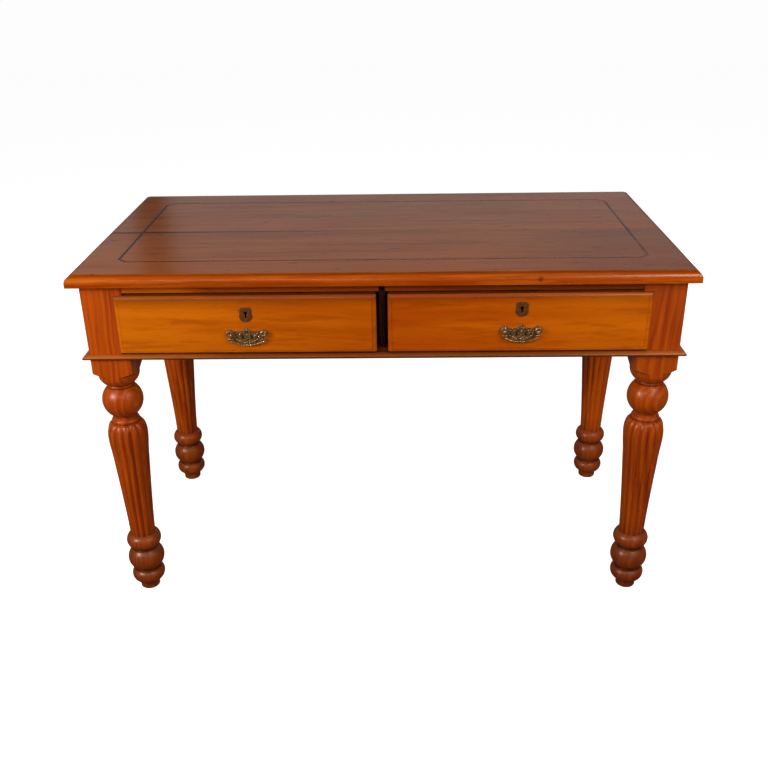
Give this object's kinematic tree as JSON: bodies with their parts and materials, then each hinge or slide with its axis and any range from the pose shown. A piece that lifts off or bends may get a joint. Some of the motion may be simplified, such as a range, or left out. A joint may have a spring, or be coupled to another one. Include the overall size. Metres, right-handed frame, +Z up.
{
  "type": "study desk",
  "caption": "Wooden writing desk with a moulded, inlaid top, lipped drawers side by side with cast plate handles, and turned, reeded legs.",
  "frame": {"origin": "on the floor under the middle of the top", "axes": "+X to the sitter's right along the desk, +Y away from the sitter, +Z up; the drawers face -Y"},
  "size_m": [1.22, 0.64, 0.77],
  "materials": {
    "top_wood": "varnished, worn",
    "inlay_wood": "dark stringing, worn",
    "carcass_wood": "varnished",
    "drawer_wood": "varnished",
    "inner_wood": "bare",
    "handle_brass": "cast, antique",
    "key_plate_brass": "dark, antique",
    "lock_brass": "dull",
    "iron": "plain"
  },
  "bodies": {
    "desk": {"back_apron": "carcass_wood", "bottom_rail": "carcass_wood", "button_screws": "iron", "centre_kickers": "inner_wood", "centre_partition": "inner_wood", "centre_runner": "inner_wood", "drawer_guides": "inner_wood", "front_moulding": "carcass_wood", "inlay_stringing": "inlay_wood", "left_apron": "carcass_wood", "left_moulding": "carcass_wood", "left_runner": "inner_wood", "left_strike_plate": "lock_brass", "left_top_rail": "carcass_wood", "leg_back_left": "carcass_wood", "leg_back_right": "carcass_wood", "leg_front_left": "carcass_wood", "leg_front_right": "carcass_wood", "rail_screws": "iron", "right_apron": "carcass_wood", "right_moulding": "carcass_wood", "right_runner": "inner_wood", "right_strike_plate": "lock_brass", "right_top_rail": "carcass_wood", "side_kickers": "inner_wood", "strike_screws": "iron", "top_back_board": "top_wood", "top_buttons": "inner_wood", "top_front_board": "top_wood"},
    "left_drawer": {"left_drawer_back": "inner_wood", "left_drawer_bottom": "inner_wood", "left_drawer_front": "drawer_wood", "left_drawer_inner_side": "inner_wood", "left_drawer_outer_side": "inner_wood", "left_handle_bolts": "handle_brass", "left_handle_nuts": "handle_brass", "left_handle_plate": "handle_brass", "left_key_plate": "key_plate_brass", "left_key_plate_pins": "key_plate_brass", "left_lock_case": "lock_brass", "left_lock_screws": "iron"},
    "right_drawer": {"right_drawer_back": "inner_wood", "right_drawer_bottom": "inner_wood", "right_drawer_front": "drawer_wood", "right_drawer_inner_side": "inner_wood", "right_drawer_outer_side": "inner_wood", "right_handle_bolts": "handle_brass", "right_handle_nuts": "handle_brass", "right_handle_plate": "handle_brass", "right_key_plate": "key_plate_brass", "right_key_plate_pins": "key_plate_brass", "right_lock_case": "lock_brass", "right_lock_screws": "iron"},
    "left_bail": {"left_bail": "handle_brass"},
    "right_bail": {"right_bail": "handle_brass"},
    "left_lock_bolt": {"left_lock_bolt": "lock_brass"},
    "right_lock_bolt": {"right_lock_bolt": "lock_brass"}
  },
  "joints": [
    {"name": "left_drawer_slide", "type": "slide", "parent": "desk", "child": "left_drawer", "axis": [0, -1, 0], "range_m": [0, 0.38]},
    {"name": "left_bail_swing", "type": "hinge", "parent": "left_drawer", "child": "left_bail", "pos_m": [-0.2666, -0.3153, 0.636], "axis": [-1, 0, 0], "range_deg": [0, 90]},
    {"name": "left_lock_bolt_throw", "type": "slide", "parent": "left_drawer", "child": "left_lock_bolt", "axis": [0, 0, 1], "range_m": [0, 0.01]},
    {"name": "right_drawer_slide", "type": "slide", "parent": "desk", "child": "right_drawer", "axis": [0, -1, 0], "range_m": [0, 0.38]},
    {"name": "right_bail_swing", "type": "hinge", "parent": "right_drawer", "child": "right_bail", "pos_m": [0.2721, -0.3153, 0.639], "axis": [-1, 0, 0], "range_deg": [0, 90]},
    {"name": "right_lock_bolt_throw", "type": "slide", "parent": "right_drawer", "child": "right_lock_bolt", "axis": [0, 0, 1], "range_m": [0, 0.01]}
  ]
}
